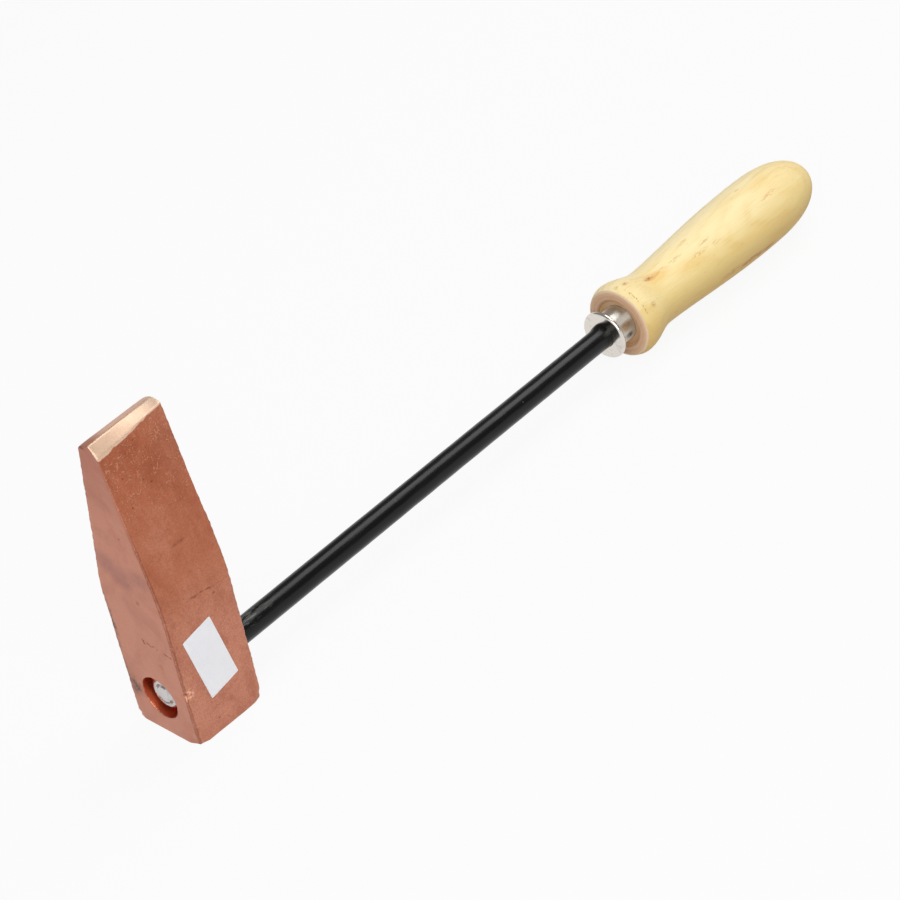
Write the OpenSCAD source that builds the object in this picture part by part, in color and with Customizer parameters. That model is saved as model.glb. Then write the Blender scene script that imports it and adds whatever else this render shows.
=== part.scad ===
// Soldering copper: a forged copper head on a steel rod with a turned wooden handle.
// X runs along the rod from the head to the handle, Z from the butt of the head to its edge.
// The butt stands on the plane Z = 0, and the bead of the handle comes close to it.

/* [Copper head] */
// Width of the square butt across the rod
head_w = 32.8; // [28:0.2:33]
// Length of the square butt along the rod
head_l = 32.6; // [28:0.2:40]
// Height from the butt to the working edge
head_h = 132.9; // [115:0.1:160]
// Height at which the two broad sides start to taper
taper_start = 65.5; // [58:0.5:75]
// Height over which each broad side eases into its taper
bend_run = 18; // [6:1:24]
// Thickness of the head at its working edge, before the bevels
bit_t = 8.4; // [6:0.2:12]
// Length of the working edge along the rod
bit_l = 32; // [27:0.5:38]
// Rounding of the four long arrises
arris_r = 0.9; // [0.6:0.1:2.5]
// Rounding of the arrises around the butt
butt_r = 1.3; // [0.8:0.1:3]

/* [Working edge] */
// Slope of the bevel on the far side
back_bevel_slope = 22; // [15:1:45]
// Slope of the filed bevel on the label side
front_bevel_slope = 46; // [30:1:55]
// Angle at which the filed bevel runs out along the edge
bevel_runout = 7.5; // [0:0.5:10]

/* [Rod] */
// Diameter of the round bar
rod_d = 10; // [9.5:0.5:12]
// Length of bare rod between the head and the ferrule
rod_l = 224.6; // [150:0.2:300]
// Diameter of the threaded spigot through the head
spigot_d = 8; // [6:0.5:9]
// Length of the tang inside the wood, behind the ferrule
tang_l = 62; // [40:1:85]

/* [Nut] */
// Width across the flats of the nut
nut_af = 13; // [12:0.5:15]
// Thickness of the nut
nut_t = 6.5; // [5:0.1:8]
// Depth of the face of the nut below the face of the head
nut_sink = 2.2; // [0.5:0.1:5]
// Room around the corners of the nut in its counterbore
nut_room = 1.5; // [1.2:0.1:2.5]

/* [Ferrule] */
// Diameter of the flange
flange_d = 21.6; // [20.6:0.2:26]
// Thickness of the flange
flange_t = 2; // [1.4:0.1:4]
// Diameter of the neck behind the flange
neck_d = 16.8; // [14:0.1:17.6]
// Radius of the flare from the flange to the neck
flare_r = 1.4; // [0.6:0.1:2.6]
// Distance from the front of the flange to the wood
ferrule_out = 10; // [6:0.2:16]
// Depth of the neck inside the wood
ferrule_in = 14; // [8:0.5:20]

/* [Handle] */
// Length of the wooden handle
handle_l = 130.5; // [115:0.5:160]
// Diameter of the front face of the handle
face_d = 30.6; // [27:0.2:32.6]
// Diameter of the bead behind the front face
bead_d = 33.4; // [33:0.2:38]
// Diameter of the waist behind the bead
waist_d = 26.4; // [23:0.2:29]
// Diameter of the belly in the palm
belly_d = 32.4; // [29:0.2:33]
// Distance of the crest of the bead from the front face
bead_at = 4.2; // [3:0.1:6]
// Distance of the waist from the front face
waist_at = 21; // [16:0.5:28]
// Distance of the crest of the belly from the front face
belly_at = 89; // [70:1:100]
// Diameter of the turned dish in the front face
dish_d = 21.4; // [19:0.2:24]
// Depth of the turned dish in the front face
dish_depth = 1.6; // [0.6:0.1:3]

/* [Label] */
// Width of the paper label
label_w = 15; // [10:0.2:18]
// Height of the paper label
label_h = 31.8; // [18:0.1:34]
// Thickness of the paper label
label_t = 0.15; // [0.1:0.05:0.25]
// Tilt of the paper label
label_tilt = 10.7; // [-15:0.1:15]
// Distance of the label from the middle of the side, towards the nut
label_shift = 1.3; // [-3:0.1:3]
// Distance from the start of the bend down to the middle of the label
label_drop = 23.3; // [18:0.1:28]

/* [Hidden] */
$fn = 96;

// Radial clearances: thread in nut, spigot in head, rod and neck in their bores
thread_fit = 0.05;
eye_fit = 0.15;
bore_fit = 0.05;
// Overrun of a cut past the surface that it opens
over = 1;
// Thickness of a section plate in a loft
plate = 0.01;

// Gap between the bead of the handle and the plane that the butt stands on
bead_gap = 0.5;
// Height of the rod above that plane
rod_z = max(bead_d, belly_d) / 2 + bead_gap;
// Height at which the flat sides of the butt end and the bend starts
flat_top = taper_start - bend_run / 2;

// Places along the rod, from the face of the head that holds the nut
counterbore_depth = nut_sink + nut_t;
counterbore_d = 2 * (nut_af / sqrt(3) + nut_room);
flange_x = head_l + rod_l;
wood_x = flange_x + ferrule_out;
tang_end_x = wood_x + ferrule_in + tang_l;
overall_l = wood_x + handle_l;

// Fullness of the rounded end of the handle, and how early its waist swells into the belly
end_power = 2.95;
swell_power = 0.8;
turned_steps = 14;

// Soft chamfers
nut_chamfer_angle = 30;
nut_countersink = 0.5;
spigot_chamfer = 0.7;
tang_chamfer = 1;
spigot_proud = 0.2;

// Smooth passage from a to b as u goes from 0 to 1
function ease(a, b, u) = a + (b - a) * (1 - cos(180 * u)) / 2;

// Part of the taper reached at height z: a parabola through the bend, then a straight line
function taper_part(z) =
    let (z_in = z - flat_top)
    let (run = z_in < 0 ? 0 : z_in < bend_run ? z_in * z_in / (2 * bend_run) : z - taper_start)
    run / (head_h - taper_start);
function head_t_at(z) = head_w + (bit_t - head_w) * taper_part(z);
function head_l_at(z) = head_l + (bit_l - head_l) * taper_part(z);

// Places the parts along X with the origin under the middle of the tool
module placed() {
    translate([-overall_l / 2, 0, 0])
        children();
}

// Turns a shape drawn about Z so that it lies along the rod, starting at x
module along_rod(x) {
    translate([x, 0, rod_z])
        rotate([0, 90, 0])
            children();
}

// One level section of the head, drawn in from its outline by inset
module head_section(z, inset = 0) {
    drawn_in = 2 * (inset + arris_r);
    translate([head_l / 2, 0, z])
        linear_extrude(plate)
            offset(r = arris_r, $fn = 32)
                square([head_l_at(z) - drawn_in, head_t_at(z) - drawn_in], center = true);
}

// Forged blank: one loft from the rounded butt, round the soft bend, past the working edge
module head_blank() {
    butt_steps = 5;
    bend_steps = 8;
    spare = 3;
    hull() {
        for (i = [0 : butt_steps]) {
            a = 90 * i / butt_steps;
            head_section(butt_r * (1 - cos(a)), butt_r * (1 - sin(a)));
        }
        for (i = [0 : bend_steps])
            head_section(flat_top + bend_run * i / bend_steps);
        head_section(head_h + spare);
    }
}

// Half space above a plane through the middle of the working edge
module above_edge(slope, runout = 0) {
    size = 4 * head_h;
    translate([0, 0, head_h])
        rotate([slope, 0, 0])
            rotate([0, -runout, 0])
                translate([-size / 2, -size / 2, 0])
                    cube(size);
}

module copper_head() {
    color([0.75, 0.42, 0.30])
        placed()
            difference() {
                head_blank();
                // Flat land, far bevel and filed bevel of the working edge
                above_edge(0);
                above_edge(-back_bevel_slope);
                above_edge(front_bevel_slope, bevel_runout);
                // Eye for the spigot and counterbore for the nut
                along_rod(-over)
                    cylinder(d = spigot_d + 2 * eye_fit, h = head_l + 2 * over);
                along_rod(-over)
                    cylinder(d = counterbore_d, h = counterbore_depth + over);
            }
}

module shank_rod() {
    spigot_x = nut_sink - spigot_proud;
    color([0.09, 0.09, 0.09])
        placed() {
            along_rod(spigot_x)
                cylinder(d1 = spigot_d - 2 * spigot_chamfer, d2 = spigot_d, h = spigot_chamfer);
            along_rod(spigot_x + spigot_chamfer)
                cylinder(d = spigot_d, h = head_l - spigot_x - spigot_chamfer);
            along_rod(head_l)
                cylinder(d = rod_d, h = tang_end_x - tang_chamfer - head_l);
            along_rod(tang_end_x - tang_chamfer)
                cylinder(d1 = rod_d, d2 = rod_d - 2 * tang_chamfer, h = tang_chamfer);
        }
}

module lock_nut() {
    corner_r = nut_af / sqrt(3);
    // The chamfer leaves a round land a little inside the flats
    land_r = 0.47 * nut_af;
    chamfer_h = (corner_r - land_r) * tan(nut_chamfer_angle);
    thread_d = spigot_d + 2 * thread_fit;
    mouth_h = nut_countersink + over;
    color([0.80, 0.81, 0.82])
        placed()
            along_rod(nut_sink)
                difference() {
                    intersection() {
                        cylinder(r = corner_r, h = nut_t, $fn = 6);
                        union() {
                            cylinder(r1 = land_r, r2 = corner_r, h = chamfer_h);
                            translate([0, 0, chamfer_h])
                                cylinder(r = corner_r, h = nut_t - chamfer_h);
                        }
                    }
                    translate([0, 0, -over])
                        cylinder(d = thread_d, h = nut_t + 2 * over);
                    // Countersink at the mouth of the thread
                    translate([0, 0, -over])
                        cylinder(d1 = thread_d + 2 * mouth_h, d2 = thread_d, h = mouth_h);
                }
}

module ferrule() {
    rim_r = flange_t / 2;
    rim_at = flange_d / 2 - rim_r;
    bore_r = rod_d / 2 + bore_fit;
    flare = min(flare_r, rim_at - neck_d / 2);
    color([0.82, 0.82, 0.80])
        placed()
            along_rod(flange_x)
                rotate_extrude() {
                    // Flange with a round rim
                    translate([bore_r, 0])
                        square([rim_at - bore_r, flange_t]);
                    translate([rim_at, rim_r])
                        circle(r = rim_r);
                    // Flare into the neck
                    difference() {
                        translate([bore_r, rim_r])
                            square([neck_d / 2 + flare - bore_r, flange_t + flare - rim_r]);
                        translate([neck_d / 2 + flare, flange_t + flare])
                            circle(r = flare);
                    }
                    // Neck, down to the floor of its socket in the wood
                    translate([bore_r, rim_r])
                        square([neck_d / 2 - bore_r, ferrule_out + ferrule_in - rim_r]);
                }
}

// Radius of the turned handle at a distance s behind its front face
function turned_r(s) =
    s < bead_at ? face_d / 2 + (bead_d - face_d) / 2 * sin(90 * s / bead_at) :
    s < waist_at ? ease(bead_d, waist_d, (s - bead_at) / (waist_at - bead_at)) / 2 :
    s < belly_at ? ease(waist_d, belly_d, pow((s - waist_at) / (belly_at - waist_at), swell_power)) / 2 :
    belly_d / 2 * sqrt(max(0, 1 - pow((s - belly_at) / (handle_l - belly_at), end_power)));

// Places for the profile's points, closer together towards the rounded end
function turned_places() = concat(
    [for (i = [0 : turned_steps / 2]) bead_at * 2 * i / turned_steps],
    [for (i = [1 : turned_steps]) bead_at + (waist_at - bead_at) * i / turned_steps],
    [for (i = [1 : turned_steps]) waist_at + (belly_at - waist_at) * i / turned_steps],
    [for (i = [1 : turned_steps]) belly_at + (handle_l - belly_at) * sin(90 * i / turned_steps)]);

module wood_handle() {
    color([0.93, 0.80, 0.52])
        placed()
            along_rod(wood_x)
                difference() {
                    rotate_extrude()
                        polygon(concat([[0, 0]], [for (s = turned_places()) [turned_r(s), s]]));
                    // Dish in the front face, socket for the neck, bore for the tang
                    translate([0, 0, -over])
                        cylinder(d = dish_d, h = dish_depth + over);
                    translate([0, 0, -over])
                        cylinder(d = neck_d + 2 * bore_fit, h = ferrule_in + over);
                    translate([0, 0, -over])
                        cylinder(d = rod_d + 2 * bore_fit, h = ferrule_in + tang_l + over);
                }
}

module paper_label() {
    color([0.92, 0.92, 0.93])
        placed()
            translate([head_l / 2 - label_shift, -head_w / 2, flat_top - label_drop])
                rotate([0, -label_tilt, 0])
                    translate([-label_w / 2, -label_t, -label_h / 2])
                        cube([label_w, label_t, label_h]);
}

copper_head();
shank_rod();
lock_nut();
ferrule();
wood_handle();
paper_label();
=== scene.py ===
"""Soldering copper: forged head, painted rod, bright fittings and turned handle."""
import logging
import math
from contextlib import contextmanager
from dataclasses import dataclass
from enum import Enum
from functools import reduce
from typing import Callable, Iterator, Optional, Sequence, Union

import bmesh
import bpy
from mathutils import Matrix, Vector


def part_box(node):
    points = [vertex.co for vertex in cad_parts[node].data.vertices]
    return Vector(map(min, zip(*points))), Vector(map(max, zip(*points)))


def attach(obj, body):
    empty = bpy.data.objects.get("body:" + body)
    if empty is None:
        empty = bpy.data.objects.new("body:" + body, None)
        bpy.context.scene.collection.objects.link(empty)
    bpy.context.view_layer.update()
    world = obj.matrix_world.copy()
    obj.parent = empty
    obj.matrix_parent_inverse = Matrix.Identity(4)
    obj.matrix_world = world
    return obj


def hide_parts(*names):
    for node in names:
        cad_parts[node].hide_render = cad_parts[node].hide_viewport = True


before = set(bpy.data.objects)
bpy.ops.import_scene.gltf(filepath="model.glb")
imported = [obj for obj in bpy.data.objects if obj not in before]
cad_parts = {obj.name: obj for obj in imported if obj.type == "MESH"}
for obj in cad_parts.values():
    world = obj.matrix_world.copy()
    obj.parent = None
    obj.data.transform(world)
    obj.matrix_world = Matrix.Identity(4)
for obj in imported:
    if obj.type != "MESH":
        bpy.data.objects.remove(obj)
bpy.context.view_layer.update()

MM = 0.001
HAIR = 0.01 * MM
WELD = 0.002 * MM
ROD_Z = 17.2 * MM
AXIS = ROD_Z / MM
BODY = "root"
MEASURES = ("DOT_PRODUCT", "DISTANCE", "LENGTH")

Piece = bpy.types.Object
Material = bpy.types.Material
Socket = bpy.types.NodeSocket
Colour = tuple[float, float, float, float]
Place = tuple[float, float, float]
Feed = Union[Socket, float, Sequence[float]]
Outline = list[tuple[float, float]]
Layer = tuple[Feed, float, float, float, Colour]

log = logging.getLogger("soldering_copper")


class Slot(Enum):
    """Material slots of the part's record."""

    COPPER = "copper"
    BLACK_STEEL = "black_steel"
    BRIGHT_STEEL = "bright_steel"
    NICKEL_PLATE = "nickel_plate"
    PALE_WOOD = "pale_wood"
    WHITE_PAPER = "white_paper"


class Cut(Enum):
    """What a second body does to the piece that it meets."""

    AWAY = "DIFFERENCE"
    COMMON = "INTERSECT"


def tint(red: int, green: int, blue: int) -> Colour:
    """Turns a display colour into the linear colour that the shaders use.

    Args:
        red: Red from 0 to 255.
        green: Green from 0 to 255.
        blue: Blue from 0 to 255.

    Returns:
        Linear red, green, blue and full alpha.
    """

    def linear(level: int) -> float:
        """Gives one channel's linear level."""
        part = level / 255
        return part / 12.92 if part <= 0.04045 else ((part + 0.055) / 1.055) ** 2.4

    return (linear(red), linear(green), linear(blue), 1.0)


def glide(start: float, stop: float, part: float) -> float:
    """Passes smoothly from start to stop while part goes from 0 to 1."""
    return start + (stop - start) * (1 - math.cos(math.pi * min(max(part, 0.0), 1.0))) / 2


def choose(piece: Piece) -> None:
    """Makes a piece the active one, and selects nothing else.

    Args:
        piece: The object to choose.
    """
    bpy.ops.object.select_all(action="DESELECT")
    piece.select_set(True)
    bpy.context.view_layer.objects.active = piece


@contextmanager
def editing(piece: Piece) -> Iterator[None]:
    """Opens one piece in edit mode with nothing selected, and closes it again.

    Args:
        piece: The mesh object to open.

    Returns:
        A context in which mesh operators act on the piece alone.
    """
    choose(piece)
    bpy.ops.object.mode_set(mode="EDIT")
    bpy.ops.mesh.select_mode(type="VERT")
    bpy.ops.mesh.select_all(action="DESELECT")
    yield
    bpy.ops.object.mode_set(mode="OBJECT")


def pick(piece: Piece, test: Callable[[Vector], bool]) -> None:
    """Selects the vertices of an open piece by their place.

    Args:
        piece: The mesh object, in edit mode.
        test: Says whether a vertex at a place is wanted.
    """
    mesh = bmesh.from_edit_mesh(piece.data)
    for vertex in mesh.verts:
        vertex.select_set(test(vertex.co))
    mesh.select_flush_mode()
    bmesh.update_edit_mesh(piece.data)


def refine(piece: Piece, kind: str, **settings: object) -> None:
    """Adds a modifier to a piece, sets it and applies it.

    Args:
        piece: The mesh object.
        kind: The modifier's type.
        settings: Values for the modifier's properties.
    """
    choose(piece)
    modifier = piece.modifiers.new(kind.title(), kind)
    for name, value in settings.items():
        setattr(modifier, name, value)
    bpy.ops.object.modifier_apply(modifier=modifier.name)


def settle(piece: Piece, name: str) -> Piece:
    """Puts a new object's place into its mesh and names it.

    Args:
        piece: The object that was just added.
        name: Its name.

    Returns:
        The same object, at the origin, unturned and unscaled.
    """
    piece.name = name
    piece.data.name = name
    choose(piece)
    bpy.ops.object.transform_apply(location=True, rotation=True, scale=True)
    return piece


def turn(name: str, outline: Outline, steps: int) -> Piece:
    """Turns an outline about the rod's axis, as on a lathe.

    Args:
        name: Name of the new piece.
        outline: Places along the rod with their radii, from one end to the other.
        steps: Number of steps round the axis.

    Returns:
        The turned piece.
    """
    bpy.ops.object.select_all(action="DESELECT")
    bpy.ops.mesh.primitive_plane_add(size=2 * MM, location=(0, 0, 0))
    piece = settle(bpy.context.object, name)
    with editing(piece):
        bpy.ops.mesh.select_all(action="SELECT")
        bpy.ops.mesh.merge(type="CENTER")
        bpy.ops.mesh.select_all(action="SELECT")
        x, radius = outline[0]
        bpy.ops.transform.translate(value=(x, 0, ROD_Z + radius))
        for next_x, next_radius in outline[1:]:
            step = (next_x - x, 0, next_radius - radius)
            bpy.ops.mesh.extrude_vertices_move(TRANSFORM_OT_translate={"value": step})
            x, radius = next_x, next_radius
        bpy.ops.mesh.select_all(action="SELECT")
        bpy.ops.mesh.spin(steps=steps, angle=2 * math.pi, center=(0, 0, ROD_Z), axis=(1, 0, 0))
        bpy.ops.mesh.select_all(action="SELECT")
        bpy.ops.mesh.remove_doubles(threshold=WELD)
        bpy.ops.mesh.normals_make_consistent(inside=False)
    return piece


def cut(piece: Piece, tool: Piece, how: Cut) -> None:
    """Cuts a piece with a second body and clears that body away.

    Args:
        piece: The piece to cut.
        tool: The body that cuts it.
        how: Whether the common part is taken away or kept.
    """
    refine(piece, "BOOLEAN", operation=how.value, object=tool, solver="EXACT")
    mesh = tool.data
    bpy.data.objects.remove(tool)
    bpy.data.meshes.remove(mesh)


def weigh(piece: Piece, name: str, rule: Callable[[Vector], float]) -> None:
    """Gives a piece a vertex group whose weights follow a rule on places.

    Args:
        piece: The piece.
        name: Name of the group.
        rule: Gives the weight at a place.
    """
    group = piece.vertex_groups.new(name=name)
    for vertex in piece.data.vertices:
        weight = rule(vertex.co)
        if weight > 0:
            group.add([vertex.index], min(weight, 1.0), "REPLACE")


def push(piece: Piece, place: Vector, by: Vector, reach: float) -> None:
    """Pushes the surface round one place in or out, fading with distance.

    Args:
        piece: The piece, in edit mode.
        place: The place that is pushed.
        by: How far it is pushed.
        reach: Distance at which the push has faded away.
    """
    mesh = bmesh.from_edit_mesh(piece.data)
    nearest = min(mesh.verts, key=lambda vertex: (vertex.co - place).length_squared)
    bpy.ops.mesh.select_all(action="DESELECT")
    nearest.select_set(True)
    bmesh.update_edit_mesh(piece.data)
    bpy.ops.transform.translate(
        value=by,
        use_proportional_edit=True,
        proportional_edit_falloff="SMOOTH",
        proportional_size=reach,
    )


@dataclass(frozen=True)
class Lumps:
    """An uneven surface: its lumps' size and finer layers, height and the level that stays."""

    name: str
    grain: float
    layers: int
    height: float
    level: float

    def press(self, piece: Piece, group: str = "") -> None:
        """Makes the surface of a piece uneven.

        Args:
            piece: The piece.
            group: Vertex group that takes the lumps, or nothing for all of the piece.
        """
        pattern = bpy.data.textures.new(self.name, "CLOUDS")
        pattern.noise_scale = self.grain
        pattern.noise_depth = self.layers
        settings = {"strength": self.height, "mid_level": self.level, "vertex_group": group}
        refine(piece, "DISPLACE", texture=pattern, texture_coords="LOCAL", **settings)


FORGING = Lumps("forging_lumps", grain=17 * MM, layers=1, height=0.4 * MM, level=0.5)
PECKS = Lumps("hammer_pecks", grain=3.2 * MM, layers=2, height=0.24 * MM, level=0.8)
NICKS = Lumps("arris_nicks", grain=2.2 * MM, layers=2, height=0.6 * MM, level=0.65)
PAINT = Lumps("paint_lumps", grain=9 * MM, layers=1, height=0.12 * MM, level=1.0)
BEADS = Lumps("paint_beads", grain=5 * MM, layers=1, height=1.0 * MM, level=0.0)


@dataclass(frozen=True)
class Mark:
    """One stain, pit, knot, painted reflection or patch of painted shade: its place and reach in
    millimetres, its tone and its strength.
    """

    spot: Place
    reach: Place
    tone: Colour
    share: float
    ragged: float = 0.6


class Shade:
    """One material under construction, with short names for the nodes that the finishes use.

    Places are the piece's own coordinates in millimetres.
    """

    def __init__(self, name: str) -> None:
        """Starts a material.

        Args:
            name: Name of the material.
        """
        self.material = bpy.data.materials.new(name)
        self.material.use_nodes = True
        self.tree = self.material.node_tree
        self.tree.nodes.clear()
        where = self.node("ShaderNodeTexCoord", {}).outputs["Object"]
        self.place: Socket = self.vector("SCALE", where, 1 / MM)
        self.x, self.y, self.z = self.node("ShaderNodeSeparateXYZ", {0: self.place}).outputs

    def node(self, kind: str, feeds: dict, **settings: object) -> bpy.types.Node:
        """Adds a node.

        Args:
            kind: The node's type.
            feeds: Inputs by name or number, each with a socket to link or a plain value.
            settings: Values for the node's properties.

        Returns:
            The node.
        """
        made = self.tree.nodes.new(kind)
        for name, value in settings.items():
            setattr(made, name, value)
        for key, value in feeds.items():
            if isinstance(value, bpy.types.NodeSocket):
                self.tree.links.new(value, made.inputs[key])
            else:
                made.inputs[key].default_value = value
        return made

    def math(self, operation: str, first: Feed, second: Feed = 0.0) -> Socket:
        """Joins two numbers by one operation and gives the result."""
        return self.node("ShaderNodeMath", {0: first, 1: second}, operation=operation).outputs[0]

    def vector(self, operation: str, first: Feed, second: Feed = (0, 0, 0)) -> Socket:
        """Joins two places by one operation, or scales one by a number.

        Args:
            operation: The operation.
            first: The first place.
            second: The second place, or the number.

        Returns:
            A place, or a number where the operation measures something.
        """
        feeds = {0: first, "Scale" if operation == "SCALE" else 1: second}
        made = self.node("ShaderNodeVectorMath", feeds, operation=operation)
        return made.outputs["Value" if operation in MEASURES else "Vector"]

    def times(self, *values: Feed) -> Feed:
        """Multiplies any number of values."""
        return reduce(lambda result, value: self.math("MULTIPLY", result, value), values)

    def plus(self, *values: Feed) -> Feed:
        """Adds any number of values."""
        return reduce(lambda result, value: self.math("ADD", result, value), values)

    def most(self, *values: Feed) -> Feed:
        """Gives the greatest of any number of values."""
        return reduce(lambda result, value: self.math("MAXIMUM", result, value), values)

    def less(self, first: Feed, second: Feed) -> Socket:
        """Takes one value from another."""
        return self.math("SUBTRACT", first, second)

    def gap(self, first: Feed, second: Feed) -> Socket:
        """Gives how far two values lie apart."""
        return self.math("ABSOLUTE", self.less(first, second))

    def swing(self, pattern: Feed, width: float) -> Feed:
        """Spreads a pattern from 0 to 1 over a width about 0."""
        return self.times(self.less(pattern, 0.5), width)

    def radius(self, y: float = 0.0, z: float = AXIS) -> Socket:
        """Gives the distance from a line along the rod, or from its axis.

        Args:
            y: The line's place across.
            z: The line's height.

        Returns:
            The distance in millimetres.
        """
        across = self.math("POWER", self.less(self.y, y), 2.0)
        up = self.math("POWER", self.less(self.z, z), 2.0)
        return self.math("SQRT", self.plus(across, up))

    def fade(self, value: Feed, none: float, full: float) -> Socket:
        """Goes smoothly from 0 at one level of a value to 1 at another."""
        feeds = {0: value, 1: none, 2: full, 3: 0.0, 4: 1.0}
        return self.node("ShaderNodeMapRange", feeds, interpolation_type="SMOOTHSTEP").outputs[0]

    def mapped(
        self, stretch: Place = (1, 1, 1), shift: Place = (0, 0, 0), turned: Place = (0, 0, 0)
    ) -> Socket:
        """Gives the place, turned, shifted and stretched for a pattern.

        Args:
            stretch: Factor on each axis.
            shift: Distance on each axis, after the stretch.
            turned: Angles about each axis in degrees.

        Returns:
            The new place.
        """
        angles = [math.radians(angle) for angle in turned]
        feeds = {"Vector": self.place, "Location": shift, "Rotation": angles, "Scale": stretch}
        return self.node("ShaderNodeMapping", feeds).outputs["Vector"]

    def noise(
        self,
        size: float,
        detail: float = 4,
        rough: float = 0.55,
        warp: float = 0,
        at: Optional[Socket] = None,
    ) -> Socket:
        """Gives a soft random pattern from 0 to 1.

        Args:
            size: Size of its lumps in millimetres.
            detail: Number of finer layers.
            rough: Strength of the finer layers.
            warp: How far the pattern is pulled about.
            at: The place to read, or nothing for the plain place.

        Returns:
            The pattern.
        """
        feeds = {"Vector": at or self.place, "Scale": 1 / size}
        feeds.update({"Detail": detail, "Roughness": rough, "Distortion": warp})
        return self.node("ShaderNodeTexNoise", feeds).outputs[0]

    def dots(self, size: float, none: float, full: float) -> Socket:
        """Gives small dots, one in each cell of a random field.

        Args:
            size: Size of a cell in millimetres.
            none: Distance from a dot's middle, as a part of the cell, where it ends.
            full: Distance within which it is full.

        Returns:
            1 on a dot, else 0.
        """
        feeds = {"Vector": self.place, "Scale": 1 / size}
        cells = self.node("ShaderNodeTexVoronoi", feeds, feature="F1")
        return self.fade(cells.outputs["Distance"], none, full)

    def warped(self, size: float, amount: float) -> Socket:
        """Gives the place, pulled about by a soft pattern.

        Args:
            size: Size of the lumps in millimetres.
            amount: Greatest pull in millimetres.

        Returns:
            The new place.
        """
        feeds = {"Vector": self.place, "Scale": 1 / size, "Detail": 2.0}
        pulls = self.node("ShaderNodeTexNoise", feeds).outputs["Color"]
        centred = self.vector("SUBTRACT", pulls, (0.5, 0.5, 0.5))
        return self.vector("ADD", self.place, self.vector("SCALE", centred, 2 * amount))

    def near(self, spot: Place, reach: Place) -> Socket:
        """Is 1 at a spot and 0 beyond its reach on each axis, in millimetres."""
        part = self.vector("DIVIDE", self.vector("SUBTRACT", self.place, spot), reach)
        return self.fade(self.vector("LENGTH", part), 1.0, 0.2)

    def noted(self, name: str) -> Socket:
        """Reads a number that the piece's own vertices carry."""
        return self.node("ShaderNodeAttribute", {}, attribute_name=name).outputs["Fac"]

    def line(self, stops: Sequence[Place], half: float, at: Socket) -> Feed:
        """Draws a thin line through a few places.

        Args:
            stops: The places in millimetres.
            half: Half its width in millimetres.
            at: The place to read, pulled about so that the line wanders.

        Returns:
            1 on the line, else 0.
        """
        result: Feed = 0.0
        for first, second in zip(stops, stops[1:]):
            along = Vector(second) - Vector(first)
            away = self.vector("SUBTRACT", at, first)
            part = self.vector("DOT_PRODUCT", away, along / along.length_squared)
            part = self.node("ShaderNodeClamp", {0: part}).outputs[0]
            gap = self.vector("DISTANCE", away, self.vector("SCALE", along, part))
            result = self.most(result, self.fade(gap, half * 1.6, half * 0.6))
        return result

    def mix(self, share: Feed, first: Feed, second: Feed) -> Socket:
        """Mixes two colours by the share of the second."""
        feeds = {0: share, 6: first, 7: second}
        return self.node("ShaderNodeMix", feeds, data_type="RGBA").outputs[2]

    def lay(self, colour: Feed, tone: Feed, *shares: Feed) -> Socket:
        """Lays a tone over a colour, as much as the product of its shares says."""
        return self.mix(self.times(*shares), colour, tone)

    def layered(self, colour: Feed, *layers: Layer) -> Feed:
        """Lays tones over a colour, each where a pattern goes from one level to another.

        Args:
            colour: The colour below.
            layers: For each its pattern, the levels of none and full, its share and its tone.

        Returns:
            The colour with its layers.
        """
        for pattern, none, full, share, tone in layers:
            colour = self.lay(colour, tone, self.fade(pattern, none, full), share)
        return colour

    def marked(self, colour: Feed, marks: Sequence[Mark], ragged: Feed) -> Feed:
        """Lays a list of marks over a colour.

        Args:
            colour: The colour below.
            marks: The marks.
            ragged: A pattern from 0 to 1 that breaks them up.

        Returns:
            The colour with its marks.
        """
        broken = self.fade(ragged, 0.36, 0.64)
        for mark in marks:
            patch = self.plus(1 - mark.ragged, self.times(broken, mark.ragged))
            near = self.near(mark.spot, mark.reach)
            colour = self.lay(colour, mark.tone, near, patch, mark.share)
        return colour

    def bumps(self, *heights: tuple[Feed, float]) -> Socket:
        """Turns height patterns into one shading normal.

        Args:
            heights: Patterns from 0 to 1, each with its depth in millimetres.

        Returns:
            The normal.
        """
        under: dict = {}
        for height, depth in heights:
            feeds = {"Height": height, "Distance": depth * MM, "Strength": 1.0, **under}
            under = {"Normal": self.node("ShaderNodeBump", feeds).outputs[0]}
        return under["Normal"]

    def close(self, surface: Socket) -> Material:
        """Ends the material with a surface and gives it."""
        self.node("ShaderNodeOutputMaterial", {"Surface": surface})
        return self.material

    def done(self, **feeds: Feed) -> Material:
        """Ends the material with inputs of the surface shader, with _ for each space in a name."""
        inputs = {name.replace("_", " "): value for name, value in feeds.items()}
        return self.close(self.node("ShaderNodeBsdfPrincipled", inputs).outputs["BSDF"])


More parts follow.
